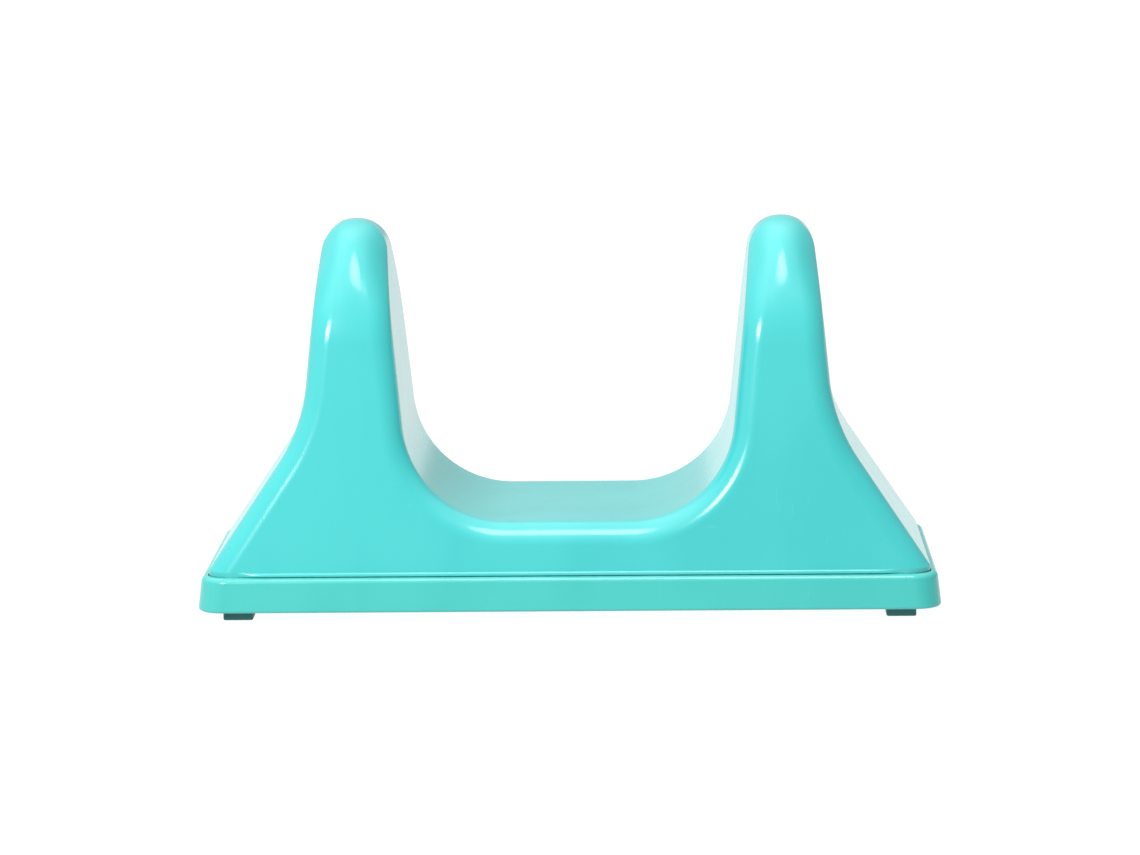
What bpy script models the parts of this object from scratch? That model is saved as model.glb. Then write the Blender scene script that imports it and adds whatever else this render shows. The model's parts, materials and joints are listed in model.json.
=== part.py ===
"""Two-peaked massage saddle: a hollow moulded shell, ribbed inside, screwed onto a base tray with four feet.

Frame: +X along the length, -Y to the front, +Z up, origin under the middle at the level of the feet.
"""

import math

import bmesh
import bpy
from mathutils import Vector

# Overall sizes
TRAY_LENGTH = 0.295
TRAY_DEPTH = 0.125
OVERALL_HEIGHT = 0.154

# Base tray
TRAY_HEIGHT = 0.0137
TRAY_FLOOR = 0.003
RIM_WALL = 0.0040
RIM_RADIUS = 0.0022
RIM_DRAFT = 0.0016
TRAY_FOOT_EDGE = 0.0012
LEDGE_DEPTH = 0.0054
LEDGE_WIDTH = 0.0042

# Shell outline, seen from the front
PEAK_SPACING = 0.1714
PEAK_TOP_RADIUS = 0.0134
PEAK_LEAN = math.radians(5.7)
VALLEY_HEIGHT = 0.0379
VALLEY_RADIUS = 0.0409
FLANK_RISE = 0.0557
FLANK_RADIUS = 0.068
EDGE_RADIUS = 0.0085
CORNER_EASE = 0.0018
SMALLEST_CORNER = 0.0004

# Shell seen from the end: the front and back faces lean in, and round over the top of each peak
FACE_LEAN = math.radians(8.0)
DOME_DROP = 0.046
RIDGE_HALF_LENGTH = 0.0015
CROWN_SHARE = 0.95

# Shell wall, the bead along its lower edge and the ribs inside
SHELL_WALL = 0.003
BEAD_HEIGHT = 0.0016
BEAD_PROUD = 0.0011
BEAD_FADE = 0.009
RIB_THICKNESS = 0.0024
RIB_SPACING = 0.038
RIB_CLEARANCE = 0.0025

# Screws and their bosses
BOSS_RADIUS = 0.0042
PEAK_BOSS_TOP = 0.062
SCREW_END_INSET = 0.0288
SCREW_FACE_INSET = 0.0225
PAD_HEIGHT = 0.004
PAD_RADIUS = 0.0058
HEAD_RADIUS = 0.0034
HEAD_HEIGHT = 0.0021
SHANK_RADIUS = 0.0015
SHANK_LENGTH = 0.014
TIP_LENGTH = 0.002
SEAT_THICKNESS = 0.0034
CROSS_WIDTH = 0.0008
CROSS_LENGTH = 0.0038
CROSS_DEPTH = 0.0011

# Square foot pads and the adhesive pads that hold them
FOOT_SIZE = 0.0118
FOOT_CORNER = 0.0012
FOOT_PROUD = 0.004
FOOT_EMBED = 0.0006
FOOT_EDGE = 0.0005
FOOT_END_INSET = 0.016
FOOT_FACE_INSET = 0.013
GROOVE_INSET = 0.0020
GROOVE_WIDTH = 0.0008
GROOVE_DEPTH = 0.0006
ADHESIVE_THICKNESS = 0.0005
ADHESIVE_INSET = 0.0006

# Gaps between pieces
FIT_GAP = 0.0003
HEAD_CLEARANCE = 0.0005

# Segments of the round shapes
CAP_STEPS = 12
VALLEY_STEPS = 8
FLANK_STEPS = 5
EDGE_STEPS = 4
BEAD_STEPS = 3
CORNER_STEPS = 4
DOME_ROWS = 8
ROUND_SEGMENTS = 16

# Levels and half sizes that follow from the sizes above
HALF_LENGTH = TRAY_LENGTH / 2
HALF_DEPTH = TRAY_DEPTH / 2
TRAY_CORNER = EDGE_RADIUS + RIM_WALL - CORNER_EASE
Z_TRAY = FOOT_PROUD
Z_FLOOR = Z_TRAY + TRAY_FLOOR
Z_PAD = Z_FLOOR + PAD_HEIGHT
Z_RIM = Z_TRAY + TRAY_HEIGHT
Z_LEDGE = Z_RIM - LEDGE_DEPTH
Z_SKIRT = Z_LEDGE + FIT_GAP
Z_BEAD = Z_RIM + FIT_GAP
Z_BODY = Z_BEAD + BEAD_HEIGHT
Z_RIB = Z_PAD + RIB_CLEARANCE
Z_BOSS = Z_PAD + FIT_GAP
BODY_HALF_LENGTH = HALF_LENGTH - RIM_WALL - FIT_GAP
BODY_HALF_DEPTH = HALF_DEPTH - RIM_WALL - FIT_GAP
PEAK_X = PEAK_SPACING / 2
RIB_Y = RIB_SPACING / 2
SCREW_X = HALF_LENGTH - SCREW_END_INSET
SCREW_Y = HALF_DEPTH - SCREW_FACE_INSET
RECESS_DEPTH = FOOT_EMBED + ADHESIVE_THICKNESS + 2 * FIT_GAP
Z_SEAT = Z_PAD - SEAT_THICKNESS


def clear_scene():
    for old in list(bpy.data.objects):
        bpy.data.objects.remove(old, do_unlink=True)


def plastic(name, colour, roughness, metallic=0.0):
    """A Principled material of one colour."""
    material = bpy.data.materials.new(name)
    material.use_nodes = True
    shader = material.node_tree.nodes["Principled BSDF"]
    shader.inputs["Base Color"].default_value = (*colour, 1.0)
    shader.inputs["Roughness"].default_value = roughness
    shader.inputs["Metallic"].default_value = metallic
    return material


def add_object(name, mesh, material=None):
    obj = bpy.data.objects.new(name, mesh)
    bpy.context.scene.collection.objects.link(obj)
    if material:
        mesh.materials.append(material)
    return obj


def finish_mesh(name, mesh_builder, smooth_angle=math.radians(32)):
    """Turn a bmesh into a mesh whose faces point out and whose soft edges shade smooth."""
    bmesh.ops.recalc_face_normals(mesh_builder, faces=mesh_builder.faces)
    mesh = bpy.data.meshes.new(name)
    mesh_builder.to_mesh(mesh)
    mesh_builder.free()
    mesh.shade_smooth()
    mesh.set_sharp_from_angle(angle=smooth_angle)
    return mesh


def as_cutter(obj):
    obj.hide_render = True
    obj.display_type = "WIRE"
    return obj


def add_boolean(obj, operation, others):
    """One exact Boolean with a group of helper objects, which may overlap one another."""
    group = bpy.data.collections.new(obj.name + "_" + operation.lower())
    bpy.context.scene.collection.children.link(group)
    for other in others:
        group.objects.link(as_cutter(other))
        bpy.context.scene.collection.objects.unlink(other)
    modifier = obj.modifiers.new(operation.title(), "BOOLEAN")
    modifier.operation = operation
    modifier.operand_type = "COLLECTION"
    modifier.collection = group
    modifier.solver = "EXACT"


def direction(angle):
    """Unit vector at an angle above the outward X axis, in the plane of the outline."""
    return Vector((math.cos(angle), math.sin(angle)))


def side_x(z, side):
    """X of a peak's straight side at height z: side is +1 for the outer one and -1 for the inner one."""
    cap_z = OVERALL_HEIGHT - PEAK_TOP_RADIUS
    half = PEAK_TOP_RADIUS / math.cos(PEAK_LEAN) - (z - cap_z) * math.tan(PEAK_LEAN)
    return PEAK_X + side * half


def half_outline():
    """(point, outward normal) pairs of the right half, from the foot of the flank to the valley's middle."""
    cap = Vector((PEAK_X, OVERALL_HEIGHT - PEAK_TOP_RADIUS))
    foot = Vector((BODY_HALF_LENGTH, Z_BODY))
    bend = Vector((side_x(Z_BODY + FLANK_RISE, 1), Z_BODY + FLANK_RISE))
    slope = math.atan2(foot.x - bend.x, bend.y - foot.y)
    downhill = Vector((math.sin(slope), -math.cos(slope)))
    pairs = [(foot, direction(slope))]

    tangent = FLANK_RADIUS * math.tan((slope - PEAK_LEAN) / 2)
    start = bend + tangent * downhill
    centre = start + FLANK_RADIUS * direction(slope)
    for step in range(FLANK_STEPS + 1):
        normal = direction(slope + (PEAK_LEAN - slope) * step / FLANK_STEPS)
        pairs.append((centre - FLANK_RADIUS * normal, normal))

    for step in range(CAP_STEPS + 1):
        normal = direction(PEAK_LEAN + (math.pi - 2 * PEAK_LEAN) * step / CAP_STEPS)
        pairs.append((cap + PEAK_TOP_RADIUS * normal, normal))

    curve_z = VALLEY_HEIGHT + VALLEY_RADIUS
    curve = Vector((side_x(curve_z, -1) - VALLEY_RADIUS / math.cos(PEAK_LEAN), curve_z))
    for step in range(VALLEY_STEPS + 1):
        inward = direction(-PEAK_LEAN - (math.pi / 2 - PEAK_LEAN) * step / VALLEY_STEPS)
        pairs.append((curve + VALLEY_RADIUS * inward, -inward))
    return pairs


def full_outline(inset):
    """The whole outline from the right foot to the left foot, moved inwards by inset."""
    right = half_outline()
    moved = [(point - inset * normal, normal) for point, normal in right]
    foot, foot_normal = right[0]
    moved[0] = (Vector((foot.x - inset / foot_normal.x, foot.y)), foot_normal)
    left = [(Vector((-p.x, p.y)), Vector((-n.x, n.y))) for p, n in reversed(moved)]
    return moved + left


def leaning_half_depth(z, inset):
    """Half depth of the body at height z on the flat, leaning front and back faces."""
    return BODY_HALF_DEPTH - inset - max(0.0, z - Z_BODY) * math.tan(FACE_LEAN)


def dome_half_depth(z, inset):
    """Half depth of the body at height z, with the elliptical fall to the ridge's end."""
    top_share = (EDGE_RADIUS + RIDGE_HALF_LENGTH) / leaning_half_depth(OVERALL_HEIGHT, 0.0)
    drop = DOME_DROP / math.sqrt(1 - top_share ** 2) - inset
    rise = max(0.0, z - (OVERALL_HEIGHT - DOME_DROP))
    return leaning_half_depth(z, inset) * math.sqrt(max(0.0, 1 - (rise / drop) ** 2))


def crown_share(x, z):
    """What is left of the depth beside a peak's middle, where its tip rounds off sideways as well."""
    climb = max(0.0, (z - OVERALL_HEIGHT + DOME_DROP) / DOME_DROP)
    aside = min(1.0, abs(abs(x) - PEAK_X) / PEAK_TOP_RADIUS)
    return 1 - CROWN_SHARE * climb ** 3 * aside ** 2


def edge_ring(inset, radius):
    """(outline inset, depth inset) pairs round the front edge, from the face to the flank."""
    pairs = []
    for step in range(EDGE_STEPS + 1):
        turn = math.pi / 2 * step / EDGE_STEPS
        pairs.append((radius * (1 - math.sin(turn)), inset + radius * (1 - math.cos(turn))))
    return pairs


def saddle_body(name, inset, floor_z, bead):
    """The saddle's solid, moved inwards by inset and carried straight down to floor_z."""
    radius = EDGE_RADIUS - inset
    outline = full_outline(inset)
    builder = bmesh.new()
    ring = edge_ring(inset, radius)
    sections = [(back, around, deep) for back in (-1, 1) for around, deep in ring]
    sections = sections[: len(ring)] + sections[len(ring):][::-1]
    rows = []
    for back, around, deep in sections:
        row = []
        for index, (point, normal) in enumerate(outline):
            at_foot = index in (0, len(outline) - 1)
            stretch = Vector((around / normal.x, 0.0))
            place = point - (stretch if at_foot else around * normal)
            depth = BODY_HALF_DEPTH - deep
            row.append(builder.verts.new((place.x, back * depth, place.y)))
        rows.append(row)
    for lower, upper in zip(rows, rows[1:]):
        for index in range(len(outline) - 1):
            builder.faces.new((lower[index], lower[index + 1], upper[index + 1], upper[index]))

    foot = [row[0] for row in rows] + [row[-1] for row in reversed(rows)]
    front_fade = add_bead_marks(builder, rows[0], -1) if bead else []
    back_fade = add_bead_marks(builder, rows[-1], 1) if bead else []
    builder.faces.new(rows[0] + front_fade)
    builder.faces.new(list(reversed(rows[-1])) + list(reversed(back_fade)))
    foot = foot[: len(rows)] + list(reversed(back_fade)) + foot[len(rows):] + front_fade
    last = foot
    for out, z in skirt_steps(floor_z, bead):
        level = [builder.verts.new(skirt_place(vert.co, out, z)) for vert in foot]
        for index in range(len(foot)):
            following = (index + 1) % len(foot)
            builder.faces.new((last[index], last[following], level[following], level[index]))
        last = level
    builder.faces.new(last)
    round_the_peaks(builder, inset)
    bmesh.ops.triangulate(builder, faces=[face for face in builder.faces if len(face.verts) > 4])
    return add_object(name, finish_mesh(name, builder))


def add_bead_marks(builder, row, back):
    """Four points along a face's lower edge, from the left: where the bead begins, is full, and ends."""
    reach = abs(row[0].co.x)
    marks = []
    for x in (-reach + BEAD_FADE / 3, -reach + BEAD_FADE, reach - BEAD_FADE, reach - BEAD_FADE / 3):
        marks.append(builder.verts.new((x, row[0].co.y, row[0].co.z)))
    return marks


def skirt_steps(floor_z, bead):
    """(proud, z) levels below the body: the bead's round, where there is one, and the skirt."""
    if not bead:
        return [(0.0, floor_z)]
    steps = []
    for step in range(1, BEAD_STEPS + 1):
        turn = math.pi / 2 * step / BEAD_STEPS
        steps.append((BEAD_PROUD * math.sin(turn), Z_BEAD + BEAD_HEIGHT * math.cos(turn)))
    return steps + [(0.0, Z_BEAD), (0.0, floor_z)]


def skirt_place(foot, out, z):
    """A foot point brought to height z and, along the straight part of the bead, moved out."""
    on_face = abs(abs(foot.y) - BODY_HALF_DEPTH) < FIT_GAP / 100
    reach = BODY_HALF_LENGTH - EDGE_RADIUS - BEAD_FADE
    proud = out if on_face and abs(foot.x) < reach else 0.0
    return Vector((foot.x, foot.y + math.copysign(proud, foot.y), z))


def round_the_peaks(builder, inset):
    """Cut level rows through the peaks, and bring the front and back faces in along the dome."""
    low = OVERALL_HEIGHT - DOME_DROP
    for row in range(DOME_ROWS):
        z = low + (DOME_DROP - inset) * math.sin(math.pi / 2 * row / DOME_ROWS)
        geometry = list(builder.verts) + list(builder.edges) + list(builder.faces)
        bmesh.ops.bisect_plane(builder, geom=geometry, dist=1e-6, plane_co=(0, 0, z), plane_no=(0, 0, 1))
    for vert in builder.verts:
        depth = abs(vert.co.y) - BODY_HALF_DEPTH + inset + dome_half_depth(vert.co.z, inset)
        vert.co.y = math.copysign(depth * crown_share(vert.co.x, vert.co.z), vert.co.y)


def box(name, low, high):
    builder = bmesh.new()
    bmesh.ops.create_cube(builder, size=1.0)
    for vert in builder.verts:
        for axis in range(3):
            vert.co[axis] = low[axis] if vert.co[axis] < 0 else high[axis]
    return add_object(name, finish_mesh(name, builder))


def turned(name, profile, segments=ROUND_SEGMENTS):
    """A solid turned about Z, from (radius, z) points that run from the top centre to the bottom centre."""
    builder = bmesh.new()
    rings = []
    for radius, z in profile[1:-1]:
        ring = []
        for step in range(segments):
            angle = 2 * math.pi * step / segments
            ring.append(builder.verts.new((radius * math.cos(angle), radius * math.sin(angle), z)))
        rings.append(ring)
    for upper, lower in zip(rings, rings[1:]):
        for step in range(segments):
            following = (step + 1) % segments
            builder.faces.new((upper[step], lower[step], lower[following], upper[following]))
    for (_, z), ring in ((profile[0], rings[0]), (profile[-1], rings[-1])):
        centre = builder.verts.new((0, 0, z))
        for step in range(segments):
            builder.faces.new((centre, ring[step], ring[(step + 1) % segments]))
    return finish_mesh(name, builder)


def cylinder(name, place, radius, low, high):
    mesh = turned(name, [(0, high), (radius, high), (radius, low), (0, low)])
    obj = add_object(name, mesh)
    obj.location = (place[0], place[1], 0)
    return obj


def rounded_ring(builder, half_x, half_y, radius, z):
    """A level rounded rectangle of points."""
    ring = []
    for corner in range(4):
        x_sign = 1 if corner in (0, 3) else -1
        y_sign = 1 if corner in (0, 1) else -1
        for step in range(CORNER_STEPS + 1):
            angle = math.pi / 2 * (corner + step / CORNER_STEPS)
            x = x_sign * (half_x - radius) + radius * math.cos(angle)
            y = y_sign * (half_y - radius) + radius * math.sin(angle)
            ring.append(builder.verts.new((x, y, z)))
    return ring


def stacked(name, half_x, half_y, corner, levels):
    """A solid through rounded rectangles, from (inset, z) levels that run from its one end to the other."""
    builder = bmesh.new()
    rings = []
    for inset, z in levels:
        radius = max(corner - inset, SMALLEST_CORNER)
        rings.append(rounded_ring(builder, half_x - inset, half_y - inset, radius, z))
    for first, second in zip(rings, rings[1:]):
        for index in range(len(first)):
            following = (index + 1) % len(first)
            builder.faces.new((first[index], first[following], second[following], second[index]))
    builder.faces.new(list(reversed(rings[0])))
    builder.faces.new(rings[-1])
    return finish_mesh(name, builder)


def screw_places():
    """Name and (x, y) of each screw: at the corners, under the peaks and under the valley."""
    places = {}
    for end, x_sign in (("left", -1), ("right", 1)):
        for face, y_sign in (("front", -1), ("back", 1)):
            places[f"corner_{face}_{end}"] = (x_sign * SCREW_X, y_sign * SCREW_Y)
            places[f"peak_{face}_{end}"] = (x_sign * PEAK_X, y_sign * RIB_Y)
    places["valley_front"] = (0.0, -SCREW_Y)
    places["valley_back"] = (0.0, SCREW_Y)
    return places


def foot_places():
    """Name and (x, y) of each foot pad."""
    places = {}
    for end, x_sign in (("left", -1), ("right", 1)):
        for face, y_sign in (("front", -1), ("back", 1)):
            place = (x_sign * (HALF_LENGTH - FOOT_END_INSET), y_sign * (HALF_DEPTH - FOOT_FACE_INSET))
            places[f"{face}_{end}"] = place
    return places


def rib_slabs(low, high):
    """Upright slabs where the stiffening ribs run: two along the saddle and five across it."""
    half = RIB_THICKNESS / 2
    slabs = []
    for y in (-RIB_Y, RIB_Y):
        slabs.append(box("long_rib", (-HALF_LENGTH, y - half, low), (HALF_LENGTH, y + half, high)))
    for x in (-SCREW_X, -PEAK_X, 0.0, PEAK_X, SCREW_X):
        slabs.append(box("cross_rib", (x - half, -HALF_DEPTH, low), (x + half, HALF_DEPTH, high)))
    return slabs


def boss_posts():
    """Posts for the screws: they run up into the roof, and those under the peaks end on the ribs."""
    posts = []
    for name, place in screw_places().items():
        top = PEAK_BOSS_TOP if name.startswith("peak") else OVERALL_HEIGHT
        posts.append(cylinder("boss_" + name, place, BOSS_RADIUS, Z_BOSS, top))
    return posts


def pilot_holes():
    """Holes in the bosses for the screws, a little deeper than the screws reach."""
    holes = []
    top = Z_SEAT + SHANK_LENGTH + TIP_LENGTH + HEAD_CLEARANCE
    for name, place in screw_places().items():
        low = Z_BOSS - FIT_GAP
        holes.append(cylinder("pilot_" + name, place, SHANK_RADIUS + FIT_GAP, low, top))
    return holes


def upper_shell(material):
    """The moulded shell: an open-bottomed wall with ribs and screw bosses inside."""
    cavity = saddle_body("shell_cavity", SHELL_WALL, Z_SKIRT - SHELL_WALL, bead=False)
    add_boolean(cavity, "DIFFERENCE", rib_slabs(Z_RIB, OVERALL_HEIGHT) + boss_posts())
    shell = saddle_body("upper_shell", 0.0, Z_SKIRT, bead=True)
    shell.data.materials.append(material)
    add_boolean(shell, "DIFFERENCE", [cavity] + pilot_holes())
    return shell


def tray_levels():
    """(inset, z) steps of the tray's section, from under its floor, over the rim and down inside it."""
    levels = [(TRAY_FOOT_EDGE, Z_TRAY), (0.0, Z_TRAY + TRAY_FOOT_EDGE)]
    for step in range(EDGE_STEPS + 1):
        turn = math.pi / 2 * step / EDGE_STEPS
        inset = RIM_DRAFT + RIM_RADIUS * (1 - math.cos(turn))
        levels.append((inset, Z_RIM - RIM_RADIUS * (1 - math.sin(turn))))
    levels.append((RIM_WALL, Z_RIM))
    levels.append((RIM_WALL, Z_LEDGE))
    levels.append((RIM_WALL + LEDGE_WIDTH, Z_LEDGE))
    levels.append((RIM_WALL + LEDGE_WIDTH, Z_FLOOR))
    return levels


def tray_additions():
    """Low ribs on the floor, and a pad round each screw."""
    reach_x = HALF_LENGTH - RIM_WALL - LEDGE_WIDTH / 2
    reach_y = HALF_DEPTH - RIM_WALL - LEDGE_WIDTH / 2
    half = RIB_THICKNESS / 2
    low = Z_FLOOR - TRAY_FLOOR / 2
    pieces = []
    for y in (-RIB_Y, RIB_Y):
        pieces.append(box("tray_long_rib", (-reach_x, y - half, low), (reach_x, y + half, Z_PAD)))
    for x in (-SCREW_X, -PEAK_X, 0.0, PEAK_X, SCREW_X):
        pieces.append(box("tray_cross_rib", (x - half, -reach_y, low), (x + half, reach_y, Z_PAD)))
    for name, place in screw_places().items():
        pieces.append(cylinder("pad_" + name, place, PAD_RADIUS, low, Z_PAD))
    return pieces


def tray_cuts():
    """From below: a counterbore and a hole for each screw, and a recess for each foot pad."""
    below = Z_TRAY - TRAY_FLOOR
    cuts = []
    for name, place in screw_places().items():
        cuts.append(cylinder("counterbore_" + name, place, HEAD_RADIUS + HEAD_CLEARANCE, below, Z_SEAT))
        cuts.append(cylinder("hole_" + name, place, SHANK_RADIUS + FIT_GAP, below, Z_PAD + FIT_GAP))
    half = FOOT_SIZE / 2 + FIT_GAP
    levels = [(0.0, below), (0.0, Z_TRAY + RECESS_DEPTH)]
    for name, place in foot_places().items():
        recess = add_object("recess_" + name, stacked("recess", half, half, FOOT_CORNER + FIT_GAP, levels))
        recess.location = (place[0], place[1], 0)
        cuts.append(recess)
    return cuts


def base_tray(material):
    """The tray that closes the shell from below, with a rim that the shell's skirt drops into."""
    mesh = stacked("base_tray", HALF_LENGTH, HALF_DEPTH, TRAY_CORNER, tray_levels())
    tray = add_object("base_tray", mesh, material)
    add_boolean(tray, "UNION", tray_additions())
    add_boolean(tray, "DIFFERENCE", tray_cuts())
    return tray


def screw_mesh(material):
    """A pan-head screw with a cross recess, pointing up from the seat under its head."""
    crown = HEAD_HEIGHT / 4
    profile = [
        (0, SHANK_LENGTH + TIP_LENGTH),
        (SHANK_RADIUS / 5, SHANK_LENGTH + TIP_LENGTH),
        (SHANK_RADIUS, SHANK_LENGTH),
        (SHANK_RADIUS, 0),
        (HEAD_RADIUS, 0),
        (HEAD_RADIUS, -HEAD_HEIGHT + 2 * crown),
        (HEAD_RADIUS - crown, -HEAD_HEIGHT + crown / 2),
        (HEAD_RADIUS - 3 * crown, -HEAD_HEIGHT),
        (0, -HEAD_HEIGHT),
    ]
    template = add_object("screw_template", turned("case_screw", profile), material)
    low = -HEAD_HEIGHT - CROSS_DEPTH
    high = -HEAD_HEIGHT + CROSS_DEPTH
    long = CROSS_LENGTH / 2
    wide = CROSS_WIDTH / 2
    bars = [
        box("cross_bar", (-long, -wide, low), (long, wide, high)),
        box("cross_bar", (-wide, -long, low), (wide, long, high)),
    ]
    add_boolean(template, "DIFFERENCE", bars)
    bpy.context.view_layer.update()
    graph = bpy.context.evaluated_depsgraph_get()
    mesh = bpy.data.meshes.new_from_object(template.evaluated_get(graph))
    mesh.name = "case_screw"
    for helper in [template] + bars:
        bpy.data.objects.remove(helper, do_unlink=True)
    return mesh


def case_screws(material):
    mesh = screw_mesh(material)
    for name, place in screw_places().items():
        screw = add_object("screw_" + name, mesh)
        screw.location = (place[0], place[1], Z_SEAT - FIT_GAP)


def foot_mesh():
    """A square rubber pad with an eased lower edge and one square groove in its underside."""
    groove_end = GROOVE_INSET + GROOVE_WIDTH
    levels = [
        (0.0, FOOT_PROUD + FOOT_EMBED),
        (0.0, FOOT_EDGE),
        (FOOT_EDGE, 0.0),
        (GROOVE_INSET, 0.0),
        (GROOVE_INSET, GROOVE_DEPTH),
        (groove_end, GROOVE_DEPTH),
        (groove_end, 0.0),
    ]
    return stacked("foot_pad", FOOT_SIZE / 2, FOOT_SIZE / 2, FOOT_CORNER, levels)


def feet(rubber, adhesive):
    """Four foot pads, each with its adhesive pad above it in the recess."""
    pad = foot_mesh()
    pad.materials.append(rubber)
    low = FOOT_PROUD + FOOT_EMBED + FIT_GAP
    levels = [(ADHESIVE_INSET, low), (ADHESIVE_INSET, low + ADHESIVE_THICKNESS)]
    glue = stacked("adhesive_pad", FOOT_SIZE / 2, FOOT_SIZE / 2, FOOT_CORNER, levels)
    glue.materials.append(adhesive)
    for name, place in foot_places().items():
        for prefix, mesh in (("foot_pad_", pad), ("adhesive_pad_", glue)):
            piece = add_object(prefix + name, mesh)
            piece.location = (place[0], place[1], 0)


def main():
    clear_scene()
    upper_shell(plastic("turquoise_gloss", (0.07, 0.62, 0.60), 0.18))
    base_tray(plastic("turquoise_tray", (0.07, 0.60, 0.57), 0.22))
    case_screws(plastic("screw_steel", (0.62, 0.63, 0.64), 0.30, metallic=1.0))
    feet(plastic("foot_rubber", (0.03, 0.08, 0.08), 0.70), plastic("adhesive", (0.85, 0.84, 0.80), 0.60))


main()
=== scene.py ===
import json
import math
import bpy
from mathutils import Matrix, Vector

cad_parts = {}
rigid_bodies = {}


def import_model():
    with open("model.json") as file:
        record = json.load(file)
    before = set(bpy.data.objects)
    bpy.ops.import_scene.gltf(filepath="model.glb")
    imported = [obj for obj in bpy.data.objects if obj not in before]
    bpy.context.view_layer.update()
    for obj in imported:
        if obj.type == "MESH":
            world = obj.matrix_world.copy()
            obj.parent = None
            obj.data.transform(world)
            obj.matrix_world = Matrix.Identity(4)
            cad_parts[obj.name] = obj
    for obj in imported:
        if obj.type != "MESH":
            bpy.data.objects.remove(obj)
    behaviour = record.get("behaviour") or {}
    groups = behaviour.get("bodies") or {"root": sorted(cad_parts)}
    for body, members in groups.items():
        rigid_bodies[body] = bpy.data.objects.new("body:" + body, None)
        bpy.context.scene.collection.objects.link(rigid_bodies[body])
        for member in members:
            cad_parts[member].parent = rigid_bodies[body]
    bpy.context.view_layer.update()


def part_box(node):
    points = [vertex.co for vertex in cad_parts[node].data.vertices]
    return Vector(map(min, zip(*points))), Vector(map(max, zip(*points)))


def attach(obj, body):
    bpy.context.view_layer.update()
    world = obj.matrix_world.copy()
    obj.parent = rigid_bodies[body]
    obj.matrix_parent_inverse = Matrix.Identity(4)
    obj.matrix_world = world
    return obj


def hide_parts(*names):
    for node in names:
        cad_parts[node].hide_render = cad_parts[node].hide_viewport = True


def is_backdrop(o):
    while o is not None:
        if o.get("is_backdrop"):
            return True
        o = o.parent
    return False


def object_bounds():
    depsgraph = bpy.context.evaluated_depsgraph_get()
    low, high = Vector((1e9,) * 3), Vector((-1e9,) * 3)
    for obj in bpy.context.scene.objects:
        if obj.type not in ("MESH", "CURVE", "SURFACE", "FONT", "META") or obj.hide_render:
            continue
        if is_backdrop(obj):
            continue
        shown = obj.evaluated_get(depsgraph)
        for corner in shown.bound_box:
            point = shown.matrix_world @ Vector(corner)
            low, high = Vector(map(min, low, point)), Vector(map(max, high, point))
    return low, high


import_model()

shellLow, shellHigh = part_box("upper_shell")
trayLow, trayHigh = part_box("base_tray")
fitGap = 0.0003                 # clearance between pieces that touch
tiny = 1e-6


# ---- helpers ----

def deselectAll():
    for thing in bpy.context.view_layer.objects:
        thing.select_set(False)


def makeActive(piece):
    deselectAll()
    piece.select_set(True)
    bpy.context.view_layer.objects.active = piece
    return piece


def named(name):
    piece = bpy.context.active_object
    piece.name = name
    piece.data.name = name
    return piece


def editMode():
    bpy.ops.object.mode_set(mode="EDIT")


def objectMode():
    bpy.ops.object.mode_set(mode="OBJECT")


# selects the vertices, edges or faces of an open edit mesh that pass a test
def pick(piece, kind, test):
    bpy.ops.mesh.select_all(action="DESELECT")
    bpy.ops.mesh.select_mode(type=kind)
    objectMode()
    mesh = piece.data
    if kind == "VERT":
        for vertex in mesh.vertices:
            vertex.select = test(vertex.co)
    if kind == "EDGE":
        for edge in mesh.edges:
            a, b = (mesh.vertices[i].co for i in edge.vertices)
            edge.select = test(a, b)
    if kind == "FACE":
        for face in mesh.polygons:
            face.select = test(face.center, face.normal)
    editMode()


def applyModifier(piece, kind, **settings):
    makeActive(piece)
    modifier = piece.modifiers.new(kind.title(), kind)
    for key, value in settings.items():
        setattr(modifier, key, value)
    bpy.ops.object.modifier_apply(modifier=modifier.name)


def cutOrJoin(piece, operation, others):
    for other in others:
        applyModifier(piece, "BOOLEAN", operation=operation, object=other, solver="EXACT")
        bpy.data.objects.remove(other, do_unlink=True)


# ---- the moulded shell ----

saddle = {
    "peakSpacing": 0.1714,              # middle to middle of the two peaks
    "peakRadius": 0.0134,               # round top of a peak, seen from the front
    "peakLean": math.radians(5.7),      # each side of a peak leans this much
    "valleyHeight": 0.0379,
    "valleyRadius": 0.0409,
    "flankRise": 0.0557,                # where the slope bends up into the peak, above the foot
    "flankRadius": 0.068,
    "edgeRadius": 0.0085,               # round edge between the faces and the flanks
    "faceLean": math.radians(8.0),
    "domeDrop": 0.046,                  # height over which the faces round in towards a peak's top
    "ridgeHalfLength": 0.0015,
    "crownShare": 0.95,                 # how much the tip of a peak also rounds off sideways
    "crownColumns": 9,
    "beadHeight": 0.0016,
    "beadProud": 0.0011,
    "beadEase": 0.00025,                # round of the bead's lower edge, over the tray's rim
    "beadEdge": ((0.3, 0.3), (1, 0.08)),    # that edge's points, in and up, as shares of its round
    "beadFade": 0.009,
    "capSteps": 48,
    "valleySteps": 40,
    "flankSteps": 20,
    "edgeSteps": 18,
    "domeRows": 36,
    "footCuts": 120,
    "beadSteps": 8,
}

beadFoot = trayHigh.z + fitGap
bodyFoot = beadFoot + saddle["beadHeight"]
bodyLength = shellHigh.x
bodyDepth = shellHigh.y - saddle["beadProud"]
bodyTop = shellHigh.z


def direction(angle):
    return Vector((math.cos(angle), math.sin(angle)))


def peakSide(z, side):          # x of a peak's leaning side: +1 for the outer one, -1 for the inner one
    lean = saddle["peakLean"]
    capMiddle = bodyTop - saddle["peakRadius"]
    half = saddle["peakRadius"] / math.cos(lean) - (z - capMiddle) * math.tan(lean)
    return saddle["peakSpacing"] / 2 + side * half


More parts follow.
